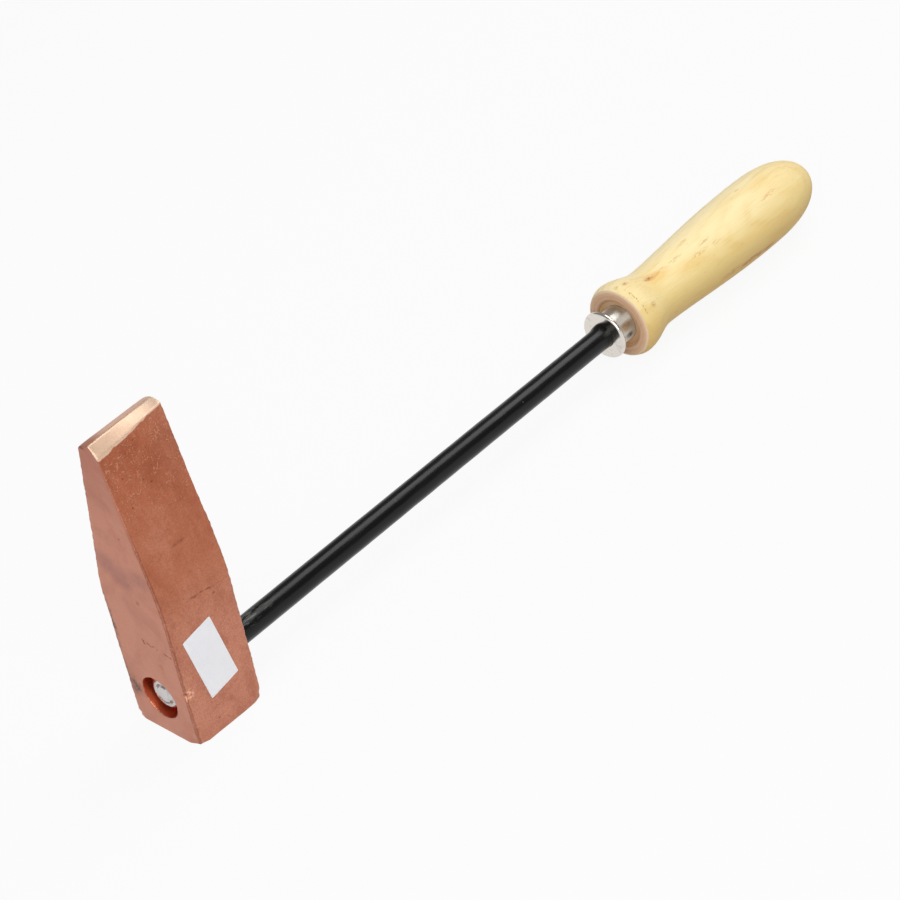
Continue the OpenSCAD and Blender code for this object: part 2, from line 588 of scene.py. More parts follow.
@dataclass(frozen=True)
class CopperFinish:
    """Forged copper: red brown sides, a paler sawn face, a filed and polished edge."""

    top: Colour = tint(186, 111, 81)
    main: Colour = tint(187, 116, 87)
    low: Colour = tint(202, 138, 113)
    deep: Colour = tint(150, 80, 56)
    pale: Colour = tint(206, 142, 116)
    sawn: Colour = tint(198, 136, 113)
    sawn_deep: Colour = tint(173, 111, 92)
    sawn_tone_and_shade: Colour = tint(158, 105, 96)
    hole: Colour = tint(226, 108, 68)
    filed: Colour = tint(226, 193, 167)
    filed_dull: Colour = tint(238, 212, 190)
    ridge: Colour = tint(238, 196, 170)
    pit: Colour = tint(96, 52, 42)
    painted_line_shade: Colour = tint(122, 66, 48)
    stain: Colour = tint(92, 70, 60)
    scratch_and_glint: Colour = tint(226, 162, 130)
    nodule: Colour = tint(246, 190, 160)
    rough: float = 0.32
    rough_spread: float = 0.2
    filed_rough: float = 0.1
    beside: float = 0.22
    curves: tuple[tuple[float, float], ...] = ((2.4, 0), (3.4, 19), (4.6, 43), (6.2, 71))

    def marks(self, x0: float) -> list[Mark]:
        """Lists the stains and pits, and darker bands on the sawn face that are partly painted
        shade.

        Args:
            x0: Place of the sawn face.

        Returns:
            The marks.
        """
        return [
            Mark((x0 + 13.2, -5.4, 124.5), (9, 4, 8), self.deep, 0.5),
            Mark((x0 + 20.6, -8, 112.5), (10, 4, 7), self.deep, 0.25),
            Mark((x0 + 17.3, -12.8, 83.9), (4.6, 2, 1.0), self.pit, 0.5),
            Mark((x0 + 6.1, -11.6, 90.5), (7, 4, 8), self.pale, 0.15),
            Mark((x0 + 6.1, -9, 105.4), (0.6, 1, 0.6), self.pit, 0.9, 0.1),
            Mark((x0 + 6.7, -7, 117), (0.6, 1, 0.6), self.pit, 0.8, 0.1),
            Mark((x0 + 16.8, -8.3, 109.5), (0.8, 1, 0.5), self.pit, 0.8, 0.1),
            Mark((x0 + 23.8, -16, 57.5), (1.2, 1, 0.7), self.pit, 0.7, 0.3),
            Mark((x0 + 8.6, -16, 59), (0.7, 1, 0.5), self.pale, 0.8, 0.2),
            # Darker bands on the sawn face, partly its own tone and partly painted shade
            Mark((x0, 9.1, 78.3), (2, 9, 7), self.sawn_tone_and_shade, 0.6, 0.3),
            Mark((x0, 1.5, 73.6), (2, 10, 8), self.sawn_tone_and_shade, 0.65, 0.3),
            Mark((x0, -8.9, 77), (2, 8, 6), self.sawn_tone_and_shade, 0.6, 0.3),
            Mark((x0, 6.2, 92.1), (2, 6, 4), self.sawn_deep, 0.5),
            Mark((x0, 3.1, 124.5), (2, 4, 6), self.sawn_deep, 0.6),
            Mark((x0, -3.9, 64.4), (2, 1.4, 1.4), self.deep, 0.6, 0.2),
            Mark((x0, 12.9, 17), (2.5, 4.4, 7.5), self.stain, 0.9, 0.7),
            Mark((x0, 15.9, 24), (3, 2.6, 8), self.stain, 0.9, 0.8),
            Mark((x0, 16.2, 46), (3, 3.0, 20), self.stain, 1.0, 0.95),
            Mark((x0, 2.6, 130.8), (1.4, 3.2, 0.8), self.pit, 0.8, 0.4),
        ]

    def strokes(self, s: Shade, aside: float) -> Feed:
        """Draws fine curved scratches, or their painted shadows where they are moved aside.

        Args:
            s: The material.
            aside: How far they are moved aside, in millimetres.

        Returns:
            1 on a scratch, else 0.
        """
        result: Feed = 0.0
        for size, shift in self.curves:
            curve = s.noise(size, 2, 0.4, 0.0, s.mapped(shift=(shift + aside, shift / 2, aside)))
            broken = s.fade(s.noise(1.3, 2, 0.5, 0.0, s.mapped(shift=(shift + 9, 3, 0))), 0.5, 0.6)
            thin = s.fade(s.gap(curve, 0.5), 0.08 / size, 0.02 / size)
            result = s.most(result, s.times(thin, broken))
        return result

    def material(self, head: "ForgedHead") -> Material:
        """Makes the material.

        Args:
            head: The head that wears it, for the places of its faces.

        Returns:
            The material.
        """
        s = Shade("forged_copper")
        x0, x1, side = head.low.x / MM, head.high.x / MM, head.low.y / MM

        # Brown at the edge and paler, pinker at the butt, partly the copper's own tint and partly a
        # painted reflection of the pale floor, with clouds, streaks along the draw and grain
        broad = s.noise(15, 5, 0.6, 0.6, s.mapped((1, 1, 0.6)))
        streak = s.noise(1.8, 3, 0.6, 0.3, s.mapped((1, 1, 0.1)))
        grain = s.noise(0.6, 6, 0.65)
        mottle = s.noise(3.2, 5, 0.65, 0.4)
        colour = s.mix(s.fade(s.z, 120, 84), self.top, self.main)
        colour = s.mix(s.fade(s.z, 84, 40), colour, self.low)
        colour = s.lay(colour, self.low, s.fade(s.z, 98, 114), s.fade(s.x, x0 + 17, x0 + 31), 0.45)
        colour = s.layered(
            colour,
            (broad, 0.56, 0.34, 0.4, self.deep),
            (broad, 0.54, 0.74, 0.5, self.pale),
            (mottle, 0.52, 0.36, 0.22, self.deep),
            (streak, 0.5, 0.76, 0.22, self.pale),
            (grain, 0.58, 0.4, 0.3, self.deep),
        )

        # The sawn face is pinker and more even
        sawn_tone = s.layered(
            self.sawn,
            (s.noise(18, 5, 0.6, 0.8), 0.46, 0.7, 0.55, self.sawn_deep),
            (mottle, 0.5, 0.34, 0.22, self.sawn_deep),
            (grain, 0.56, 0.4, 0.18, self.sawn_deep),
            (s.z, 92, 122, 0.6, self.sawn_deep),
        )
        on_sawn = s.fade(s.plus(s.noted("sawn"), s.swing(grain, 0.3)), 0.45, 0.75)
        colour = s.mix(on_sawn, colour, sawn_tone)
        colour = s.marked(colour, self.marks(x0), s.noise(2.0, 4, 0.65))

        # Scratches towards the edge, each light one partly bright metal and partly a painted glint,
        # with a painted shadow beside it, and pits
        filed = s.noted("filed")
        unfiled = s.fade(filed, -0.4, -1.4)
        on_side = s.times(s.fade(s.z, 80, 114), s.fade(s.y, 0.5, -1.5), s.less(1.0, on_sawn))
        patches = s.times(on_side, unfiled, s.fade(s.noise(8, 3), 0.34, 0.54))
        scratches = s.times(self.strokes(s, 0.0), patches)
        colour = s.lay(colour, self.painted_line_shade, s.times(self.strokes(s, self.beside), patches), 0.4)
        colour = s.lay(colour, self.scratch_and_glint, scratches, 0.5)
        pits = s.times(s.dots(3.4, 0.13, 0.07), s.fade(s.noise(6, 3), 0.56, 0.66), unfiled)
        colour = s.lay(colour, self.pit, pits, 0.6)

        # Painted shade along a crease where the taper starts, a crack in the sawn face and a burr
        # along the near arris
        creased = ((2.3, 62.8), (15.1, 62.3), (23.2, 60.7), (31.6, 59.5))
        crease_shade = s.line([(x0 + x, side, z) for x, z in creased], 0.4, s.warped(5, 2.5))
        deepest = s.near((x0 + 19.1, side, 61.5), (8, 3, 4))
        crease_shade = s.times(crease_shade, s.plus(0.15, s.times(deepest, 0.6)))
        cracked = ((0, 44.9), (-7.7, 44.4), (-14.6, 43.2))
        crack_shade = s.line([(x0, y, z) for y, z in cracked], 0.3, s.warped(3, 2.2))
        arris = s.noted("arris")
        near = s.times(s.fade(s.x, x0 + 5, x0 + 3), s.fade(s.y, 0, -2))
        jag = s.plus(arris, s.swing(s.noise(1.6, 4, 0.7), 1.6))
        burr_shade = s.times(s.fade(s.gap(jag, 0.6), 0.5, 0.1), near, s.fade(s.z, 110, 84), 0.48)
        # The three painted shade lines together, laid in the dark line tone
        worn = s.most(s.times(crack_shade, on_sawn, 0.8), crease_shade, burr_shade)
        colour = s.mix(worn, colour, self.painted_line_shade)
        # Light flecks along the near arris: partly bright nicks, partly painted glints
        fleck = s.times(s.fade(s.noise(0.9, 3, 0.6), 0.62, 0.7), s.fade(arris, 1.2, 0.5), near)
        colour = s.lay(colour, self.scratch_and_glint, fleck, 0.6)
        burst = s.near((x0 + 2.0, side, 25.3), (3.2, 3, 3.6))
        burst = s.times(burst, s.fade(s.noise(1.0, 2, 0.5), 0.46, 0.56))
        colour = s.lay(colour, self.nodule, burst, 0.8)

        # The counterbore is redder and brighter inside, partly bare drilled copper and partly
        # painted light in the shaded hole
        inside = s.times(s.fade(s.radius(), 9.4, 9.05), s.fade(s.x, x0 + 0.25, x0 + 0.9))
        colour = s.lay(colour, self.hole, inside, s.fade(s.x, x1 - 1, x1 - 2), 0.9)

        # The filed bevel is bright with a ragged lower border, the ridge behind it is duller
        bright = s.fade(s.plus(filed, s.swing(s.noise(4.2, 4, 0.6), 1.8)), -0.62, -0.3)
        behind = s.times(s.fade(s.noted("back"), -0.5, -0.2), s.less(1.0, bright))
        colour = s.lay(colour, self.ridge, behind, s.fade(s.x, x0 + 3, x0 + 13), 0.85)
        file_marks = s.noise(0.5, 4, 0.7, 0.0, s.mapped((0.12, 1, 1)))
        marked = s.times(s.fade(file_marks, 0.45, 0.8), 0.3)
        dull = s.most(s.times(s.fade(s.x, x0 + 16, x1), 0.5), marked)
        colour = s.mix(bright, colour, s.mix(dull, self.filed, self.filed_dull))

        worked = s.times(bright, self.filed_rough)
        rough = s.plus(self.rough, s.times(mottle, self.rough_spread), worked)
        hurts = s.less(scratches, s.most(pits, worn))
        normal = s.bumps((grain, 0.04), (hurts, 0.1), (s.times(file_marks, bright), 0.006))
        return s.done(Base_Color=colour, Metallic=1.0, Roughness=rough, Normal=normal)


@dataclass(frozen=True)
class PaintFinish:
    """Black paint on steel, brushed along the rod, with light scuffs by the head that are partly
    painted highlights.
    """

    paint: Colour = tint(6, 6, 6)
    worn: Colour = tint(13, 14, 13)
    scuff_and_glint: Colour = tint(168, 172, 164)
    sheen: Colour = (0.96, 1.0, 0.97, 1.0)
    gloss: float = 0.28
    rough: float = 0.14
    rough_spread: float = 0.22

    def material(self, start: float) -> Material:
        """Makes the material.

        Args:
            start: Place along X where the painted rod starts.

        Returns:
            The material.
        """
        s = Shade("black_paint")
        brushed = s.noise(1.6, 5, 0.6, 0.2, s.mapped((0.06, 1, 1)))
        fine = s.noise(0.8, 5, 0.6, 0.2, s.mapped((0.3, 1, 1)))
        feather = s.noise(1.1, 5, 0.7, 0.4, s.mapped((0.2, 1, 1), turned=(0, 20, 28)))
        # Light scuffs on the upper side near the head, partly worn paint and partly painted
        # highlight streaks
        by_head = s.fade(s.x, start / MM + 32, start / MM + 2)
        upper = s.fade(s.z, AXIS + 2, AXIS + 4.2)
        scuffs_and_glints = s.times(s.fade(feather, 0.46, 0.62), upper, by_head)
        specks = s.times(s.dots(9, 0.05, 0.025), 0.3)
        colour = s.layered(self.paint, (brushed, 0.5, 0.8, 0.7, self.worn))
        colour = s.lay(colour, self.scuff_and_glint, s.most(scuffs_and_glints, specks), 0.42)
        return s.done(
            Base_Color=colour,
            Roughness=s.plus(self.rough, s.times(brushed, self.rough_spread)),
            Normal=s.bumps((brushed, 0.07), (fine, 0.015), (s.times(feather, by_head), 0.1)),
            Specular_IOR_Level=self.gloss,
            Specular_Tint=self.sheen,
        )


@dataclass(frozen=True)
class SteelFinish:
    """Bright plated steel with grey smudges and, on the turned neck, darker streaks that are
    painted reflections, with fine grooves where it is turned.
    """

    name: str
    bright: Colour
    smudge_and_reflection: Colour
    rough: float
    spread: float
    turned: float = 0.0
    marks: tuple[Mark, ...] = ()

    def material(self) -> Material:
        """Makes the material.

        Returns:
            The material.
        """
        s = Shade(self.name)
        blot = s.noise(3.2, 5, 0.6, 0.5, s.mapped((0.12 if self.turned else 1, 1, 1)))
        colour = s.layered(self.bright, (blot, 0.5, 0.72, 0.55, self.smudge_and_reflection))
        colour = s.marked(colour, self.marks, s.noise(0.9, 4, 0.6))
        rough = s.plus(self.rough, s.times(blot, self.spread))
        normal = s.bumps((s.noise(0.5, 4, 0.6), 0.012))
        grooves: dict = {}
        if self.turned:
            along = s.node("ShaderNodeCombineXYZ", {0: 1.0})
            grooves = {"Anisotropic": self.turned, "Tangent": along.outputs[0]}
        return s.done(Base_Color=colour, Metallic=1.0, Roughness=rough, Normal=normal, **grooves)


# Painted reflections: dark patches on the nut's bright face
PAINTED_NUT_REFLECTIONS = (
    Mark((-196.6, 2.6, 14.0), (2, 2.2, 1.8), tint(84, 78, 74), 0.85, 0.5),
    Mark((-196.6, -3.2, 21.4), (2, 3.6, 1.6), tint(104, 92, 86), 0.8, 0.4),
)
# Painted reflections on the turned neck: grey, golden and dark patches where the polished neck
# would mirror its surroundings
PAINTED_NECK_REFLECTIONS = (
    Mark((64, 6.6, 21.8), (12, 2.6, 3.2), tint(110, 104, 94), 0.75, 0.3),
    Mark((65, -7.2, 20.4), (5, 2.4, 3.0), tint(176, 138, 66), 0.85, 0.3),
    Mark((66, -7.9, 15.8), (3, 2.0, 2.2), tint(46, 40, 32), 0.9, 0.4),
    Mark((61, -7.4, 20.2), (1.6, 2.0, 3.0), tint(60, 54, 44), 0.8, 0.4),
)
ZINC = SteelFinish(
    "bright_zinc",
    tint(200, 198, 197),
    tint(160, 154, 150),
    rough=0.18,
    spread=0.2,
    marks=PAINTED_NUT_REFLECTIONS,
)
NICKEL = SteelFinish(
    "nickel_plate", tint(222, 216, 208), tint(192, 184, 176), rough=0.08, spread=0.14
)
# On the turned neck the darker streaks along the axis are painted reflections
TURNED_NICKEL = SteelFinish(
    "turned_nickel",
    tint(228, 229, 224),
    tint(122, 114, 100),
    rough=0.36,
    spread=0.06,
    turned=0.9,
    marks=PAINTED_NECK_REFLECTIONS,
)


@dataclass(frozen=True)
class WoodFinish:
    """Pale close grained wood with a soft polish, brown on its end grain."""

    # The light tone is the painted highlight on the upper side
    light: Colour = tint(250, 230, 175)
    main: Colour = tint(241, 214, 145)
    pale: Colour = tint(254, 242, 206)
    late: Colour = tint(228, 192, 118)
    ochre_and_low_shade: Colour = tint(191, 143, 62)
    amber: Colour = tint(236, 198, 116)
    fleck: Colour = tint(182, 130, 64)
    knot: Colour = tint(160, 90, 38)
    warm: Colour = tint(216, 152, 80)
    speck: Colour = tint(150, 112, 58)
    end: Colour = tint(226, 186, 150)
    end_deep: Colour = tint(192, 148, 116)
    dark_ring_and_dish_shade: Colour = tint(142, 98, 68)
    pale_ring_and_rim_highlight: Colour = tint(246, 230, 208)
    pith: tuple[float, float] = (22.0, -5.0)
    pith_slant: float = 0.1
    year_width: float = 2.7
    gloss: float = 0.26
    rough: float = 0.46
    rough_spread: float = 0.12

    def marks(self, front: float) -> list[Mark]:
        """Lists the knots and flecks.

        Args:
            front: Place of the front face.

        Returns:
            The marks.
        """
        return [
            Mark((front + 40, -9.5, 26.7), (14, 5, 4), self.amber, 0.6, 0.3),
            Mark((front + 22, -5.2, 29.2), (10, 4, 4), self.amber, 0.8, 0.2),
            Mark((front + 19.5, -3.6, 30.2), (7, 2.2, 3), self.warm, 0.75, 0.5),
            Mark((front + 17.8, -3.7, 30.4), (3.6, 1.1, 2), self.knot, 0.8, 0.6),
            Mark((front + 27, -4.0, 29.9), (6, 1.2, 2), self.warm, 0.5, 0.9),
            Mark((front + 34, -4.4, 30.1), (7, 1.2, 2), self.fleck, 0.42, 1.0),
            Mark((front + 6.5, -0.8, 33.7), (2.6, 1.6, 2), self.warm, 0.8, 0.6),
            Mark((front + 6.2, -0.7, 33.7), (1.6, 0.8, 2), self.knot, 0.7, 0.5),
            Mark((front + 2.4, 0.9, 33.6), (1.4, 1.2, 2), self.fleck, 0.6, 0.7),
            Mark((front + 8.5, -13.3, 26.4), (2.6, 1.5, 1.8), self.fleck, 0.6, 0.8),
            Mark((front + 44.5, -0.8, 31.5), (5, 1.1, 2), self.fleck, 0.45, 0.9),
            Mark((front + 51.7, -7.0, 30.3), (5, 1.1, 2), self.fleck, 0.45, 1.0),
            Mark((front + 55.8, -10.1, 28.4), (3.4, 1.1, 1.6), self.fleck, 0.5, 0.9),
            Mark((front + 45, -9.1, 28.3), (8, 1.2, 1.6), self.fleck, 0.4, 1.0),
            Mark((front + 86.4, 1.4, 33.3), (2.4, 0.9, 1.5), self.fleck, 0.5, 0.8),
            Mark((front + 94, -9.7, 30.2), (9, 1.4, 1.8), self.warm, 0.5, 0.9),
            Mark((front + 60, -14.5, 12.6), (12, 2.4, 2.2), self.fleck, 0.6, 0.9),
            Mark((front + 72, -15.0, 11.2), (12, 2.6, 2.4), self.knot, 0.8, 0.7),
            Mark((front + 82, -14.9, 10.2), (12, 2.6, 2.2), self.knot, 0.7, 0.8),
        ]

    def material(self, handle: "TurnedHandle") -> Material:
        """Makes the material.

        Args:
            handle: The handle that wears it, for the places of its faces.

        Returns:
            The material.
        """
        s = Shade("pale_wood")
        front, rim = handle.low.x / MM, handle.dish_d / MM / 2

        # Year rings round a slanting pith outside the handle, drawn out along the grain
        drift = s.swing(s.noise(30, 3, 0.5, 0.0, s.mapped((0.18, 1, 1))), 9.0)
        slant = s.times(s.less(s.x, front), self.pith_slant)
        ring = s.plus(s.radius(*self.pith), s.plus(drift, slant))
        year = s.math("FRACT", s.math("DIVIDE", ring, self.year_width))
        late = s.times(s.fade(year, 0.3, 0.75), s.fade(year, 1.0, 0.75))
        fibre = s.noise(0.7, 5, 0.65, 0.2, s.mapped((0.035, 1, 1)))
        broad = s.noise(9, 4, 0.6, 0.4, s.mapped((0.2, 1, 1)))
        figure = s.noise(14, 3, 0.5, 0.5, s.mapped((0.35, 1, 1)))
        height = s.plus(s.z, s.swing(broad, 14.0))
        # Paler on the far top: partly the wood's own paler side, partly a painted highlight
        far_top_pale_and_highlight = s.times(s.fade(s.y, -3, 9), s.fade(height, AXIS + 2, AXIS + 12))
        ringed = s.times(late, s.fade(figure, 0.34, 0.62), s.fade(fibre, 0.25, 0.7))
        # Lighter towards the top: a painted highlight from the light above
        colour = s.mix(s.fade(height, AXIS + 3, AXIS + 15), self.main, self.light)
        colour = s.lay(colour, self.pale, far_top_pale_and_highlight, 0.5)
        colour = s.layered(colour, (figure, 0.46, 0.66, 0.36, self.amber))
        colour = s.lay(colour, self.late, ringed, 0.45)
        colour = s.layered(colour, (fibre, 0.46, 0.72, 0.24, self.late))
        # Deeper ochre on the low side: partly the wood's own tone, partly painted shade
        colour = s.layered(colour, (s.z, AXIS + 7, AXIS - 6, 0.4, self.ochre_and_low_shade))

        # Short pores along the grain, thicker towards the front, then knots, flecks and specks
        pore = s.noise(0.5, 2, 0.5, 0.0, s.mapped((0.12, 1, 1)))
        forward = s.plus(s.times(s.fade(s.x, front + 60, front + 4), 0.5), 0.3)
        pores = s.times(s.fade(pore, 0.67, 0.75), forward)
        colour = s.lay(colour, self.fleck, pores, 0.6)
        ragged = s.fade(s.noise(0.55, 4, 0.6, 0.3, s.mapped((0.2, 1, 1))), 0.4, 0.6)
        colour = s.marked(colour, self.marks(front), ragged)
        crest = s.times(s.fade(s.gap(s.x, front + 3.1), 0.55, 0.2), s.fade(s.z, 23.5, 27.5))
        specks = s.times(crest, s.fade(s.noise(0.9, 3, 0.6), 0.5, 0.6), s.fade(s.y, -2, -5))
        colour = s.lay(colour, self.speck, specks, 0.75)

        # End grain on the front face and in the dish, with a painted highlight on the outer rim and
        # painted shade at the dish's edge and inside it
        radius = s.radius()
        end_tone = s.layered(
            self.end,
            (s.noise(0.9, 4, 0.65), 0.4, 0.7, 0.35, self.end_deep),
            (radius, 14.5, 11.5, 0.6, self.end_deep),
        )
        wobble = s.plus(radius, s.swing(s.noise(5, 3), 1.2))
        # The pale ring at the outer rim is a painted highlight, the dark ring at the dish's edge is
        # painted shade, and the two faint rings between are turned rings
        for at, half, tone, share in (
            (15.2, 0.8, self.pale_ring_and_rim_highlight, 0.45),
            (13.0, 0.9, self.dark_ring_and_dish_shade, 0.1),
            (12.2, 0.8, self.pale_ring_and_rim_highlight, 0.12),
            (11.0, 0.9, self.dark_ring_and_dish_shade, 0.35),
        ):
            end_tone = s.layered(end_tone, (s.gap(wobble, at), half, 0.0, share, tone))
        colour = s.mix(s.fade(s.x, front + 0.8, front + 0.25), colour, end_tone)
        # Painted shade inside the dish
        dish_shade = s.times(s.fade(radius, rim + 0.3, rim - 0.4), s.fade(s.x, front + 3, front + 2))
        colour = s.lay(colour, self.end_deep, dish_shade, 0.8)

        return s.done(
            Base_Color=colour,
            Roughness=s.plus(self.rough, s.times(s.fade(broad, 0.3, 0.7), self.rough_spread)),
            Normal=s.bumps((fibre, 0.03), (s.less(1.0, pores), 0.06)),
            Specular_IOR_Level=self.gloss,
        )


@dataclass(frozen=True)
class PaperFinish:
    """Smooth white label paper."""

    sheet: Colour = tint(247, 247, 251)
    fibre: Colour = tint(236, 236, 241)
    rough: float = 0.45
    rough_spread: float = 0.2

    def material(self) -> Material:
        """Makes the material.

        Returns:
            The material.
        """
        s = Shade("label_paper")
        felt = s.noise(0.6, 5, 0.6)
        mixed = s.plus(s.times(felt, 0.6), s.times(s.noise(6, 3, 0.5), 0.4))
        colour = s.layered(self.sheet, (mixed, 0.45, 0.7, 0.5, self.fibre))
        rough = s.plus(self.rough, s.times(felt, self.rough_spread))
        return s.done(Base_Color=colour, Roughness=rough, Normal=s.bumps((felt, 0.01)))


@dataclass
class Part:
    """A part of the object that fills one box of the frame."""

    low: Vector
    high: Vector

    @property
    def length(self) -> float:
        """Length of the box along the rod."""
        return self.high.x - self.low.x

    @property
    def middle_x(self) -> float:
        """Middle of the box along the rod."""
        return (self.low.x + self.high.x) / 2

    def build(self) -> Piece:
        """Builds the part's mesh, each part in its own way."""
        raise NotImplementedError

    def dress(self, piece: Piece, materials: Sequence[Material], slot: Slot, *nodes: str) -> None:
        """Gives a finished piece its materials, its body and the nodes that it stands for.

        Args:
            piece: The piece.
            materials: Its materials in the order of its faces' numbers.
            slot: The record's material slot; not used.
            nodes: Names of the CAD nodes that it replaces.
        """
        for material in materials:
            piece.data.materials.append(material)
        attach(piece, BODY)
        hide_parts(*nodes)


@dataclass
class ForgedHead(Part):
    """The copper head: a square butt, drawn out to a filed edge, with an eye and a counterbore."""

    flat_top: float = 56.5 * MM
    bend_run: float = 18 * MM
    bend_steps: int = 8
    bit_t: float = 8.4 * MM
    bit_l: float = 32 * MM
    arris: float = 0.35 * MM
    arris_angle: float = 55
    back_slope: float = 22
    file_slope: float = 50
    file_end_slope: float = 5
    file_width: float = 16 * MM
    file_height: float = 12 * MM
    file_y: float = -5 * MM
    file_over: float = 2 * MM
    file_grid: tuple[int, int] = (24, 8)
    ridge_start: float = -1.4 * MM
    ridge_end: float = 0.6 * MM
    counterbore_d: float = 18 * MM
    counterbore_depth: float = 8.7 * MM
    eye_d: float = 8.3 * MM
    bore_steps: int = 96
    voxel: float = 0.47 * MM
    pecks_from: float = 62 * MM
    pecks_run: float = 45 * MM
    pecks_margin: float = 2 * MM
    pecks_fade: float = 1.2 * MM
    nick_reach: float = 1.6 * MM

    @property
    def taper_start(self) -> float:
        """Height at which the two tapered sides would meet the flat ones."""
        return self.flat_top + self.bend_run / 2

    def along(self, x: float) -> float:
        """Gives the part of the head's length that is reached at a place."""
        return (x - self.low.x) / self.length

    def slope_at(self, x: float) -> float:
        """Gives the slope of the filed bevel in radians, which flattens along the edge."""
        steep, flat = (math.tan(math.radians(a)) for a in (self.file_slope, self.file_end_slope))
        return math.atan(steep + (flat - steep) * min(max(self.along(x), 0.0), 1.0))

    def ridge_y(self, x: float) -> float:
        """Gives the place of the ridge between the two bevels."""
        return self.ridge_start + (self.ridge_end - self.ridge_start) * self.along(x)

    def taper_part(self, z: float) -> float:
        """Gives the part of the taper that is reached at a height.

        Args:
            z: The height.

        Returns:
            0 below the taper, 1 at the top.
        """
        rise = max(z - self.flat_top, 0)
        run = rise * rise / (2 * self.bend_run) if rise < self.bend_run else z - self.taper_start
        return run / (self.high.z - self.taper_start)

    def half_sizes(self, z: float) -> tuple[float, float]:
        """Gives half the length and half the width of the head at a height.

        Args:
            z: The height.

        Returns:
            The two half sizes.
        """
        part = self.taper_part(z)
        length, width = self.length, self.high.y - self.low.y
        half_length = (length + (self.bit_l - length) * part) / 2
        return half_length, (width + (self.bit_t - width) * part) / 2

    def arris_gap(self, place: Vector) -> float:
        """Gives the distance from a place to the nearest long arris."""
        along, across = self.half_sizes(place.z)
        return math.hypot(along - abs(place.x - self.middle_x), across - abs(place.y))

    def filed_gap(self, place: Vector) -> float:
        """Gives the distance in front of the filed bevel, which is negative inside the head."""
        slope, aside = self.slope_at(place.x), place.y - self.ridge_y(place.x)
        return (place.z - self.high.z) * math.cos(slope) - aside * math.sin(slope)

    def back_gap(self, place: Vector) -> float:
        """Gives the distance in front of the back bevel, which is negative inside the head."""
        slope, aside = math.radians(self.back_slope), place.y - self.ridge_y(place.x)
        return (place.z - self.high.z) * math.cos(slope) + aside * math.sin(slope)

    def sawn_share(self, place: Vector) -> float:
        """Is 1 on the sawn face and falls by 1 for each millimetre behind it."""
        inward = self.half_sizes(place.z)[0] - abs(place.x - self.middle_x)
        return 1 - inward / MM if place.x < self.middle_x else 0.0

    def pecked_share(self, place: Vector) -> float:
        """Says how much of the hammer marks lies at a place.

        Args:
            place: The place.

        Returns:
            More towards the edge, on the label's side only, and none on the bevel.
        """
        if place.y > 0:
            return 0.0
        risen = glide(0, 1, (place.z - self.pecks_from) / self.pecks_run)
        return risen * glide(1, 0, (self.filed_gap(place) + self.pecks_margin) / self.pecks_fade)

    def build(self) -> Piece:
        """Forges the head.

        Returns:
            The finished mesh.
        """
        size = self.high - self.low
        middle = (self.high + self.low) / 2
        bpy.ops.object.select_all(action="DESELECT")
        bpy.ops.mesh.primitive_cube_add(size=1, location=middle, scale=size)
        head = settle(bpy.context.object, "forged_head")
        self.draw_out(head, size, middle)
        sharp = math.radians(self.arris_angle)
        refine(
            head, "BEVEL", width=self.arris, segments=2, limit_method="ANGLE", angle_limit=sharp
        )
        self.file_edge(head)
        self.drill(head)
        refine(head, "REMESH", mode="VOXEL", voxel_size=self.voxel)
        refine(head, "SMOOTH", factor=0.5, iterations=1)
        self.note(head)
        self.age(head)
        bpy.ops.object.shade_smooth()
        return head

    def draw_out(self, head: Piece, size: Vector, middle: Vector) -> None:
        """Draws the upper part of the block out to its taper.

        Args:
            head: The block.
            size: Its size.
            middle: Its middle.
        """
        steps = self.bend_steps
        levels = [self.flat_top + self.bend_run * step / steps for step in range(steps + 1)]
        with editing(head):
            for level in levels:
                bpy.ops.mesh.select_all(action="SELECT")
                bpy.ops.mesh.bisect(plane_co=(0, 0, level), plane_no=(0, 0, 1))
            for level in levels[1:] + [self.high.z]:
                pick(head, lambda place: abs(place.z - level) < HAIR)
                part = self.taper_part(level)
                length = 1 + (self.bit_l / size.x - 1) * part
                width = 1 + (self.bit_t / size.y - 1) * part
                bpy.ops.transform.resize(
                    value=(length, width, 1), center_override=(middle.x, middle.y, level)
                )

    def file_edge(self, head: Piece) -> None:
        """Cuts the two bevels of the working edge, the near one with a twist.

        Args:
            head: The drawn out block.
        """
        back = math.tan(math.radians(self.back_slope))
        drift = (self.ridge_end - self.ridge_start) / self.length
        with editing(head):
            bpy.ops.mesh.select_all(action="SELECT")
            bpy.ops.mesh.bisect(
                plane_co=(self.low.x, self.ridge_start, self.high.z),
                plane_no=Vector((-drift * back, back, 1)).normalized(),
                use_fill=True,
                clear_outer=True,
            )
        columns, rows = self.file_grid
        bpy.ops.object.select_all(action="DESELECT")
        bpy.ops.mesh.primitive_grid_add(x_subdivisions=columns, y_subdivisions=rows, size=1)
        made = bpy.context.object
        made.location = (self.middle_x, self.file_y, self.high.z)
        made.scale = (self.length + 2 * self.file_over, self.file_width, 1)
        tool = settle(made, "file")
        with editing(tool):
            for x in sorted({round(vertex.co.x, 7) for vertex in tool.data.vertices}):
                pick(tool, lambda place: abs(place.x - x) < HAIR)
                bpy.ops.transform.rotate(
                    value=-self.slope_at(x),
                    orient_axis="X",
                    center_override=(x, self.ridge_y(x), self.high.z),
                )
        refine(tool, "SOLIDIFY", thickness=self.file_height, offset=1.0)
        cut(head, tool, Cut.AWAY)

    def drill(self, head: Piece) -> None:
        """Drills the eye and the counterbore.

        Args:
            head: The filed block.
        """
        over = 1 * MM
        bores = (
            (self.eye_d, self.low.x - over, self.high.x + over),
            (self.counterbore_d, self.low.x - over, self.low.x + self.counterbore_depth),
        )
        for diameter, start, stop in bores:
            outline = [(start, 0), (start, diameter / 2), (stop, diameter / 2), (stop, 0)]
            cut(head, turn("bore", outline, self.bore_steps), Cut.AWAY)

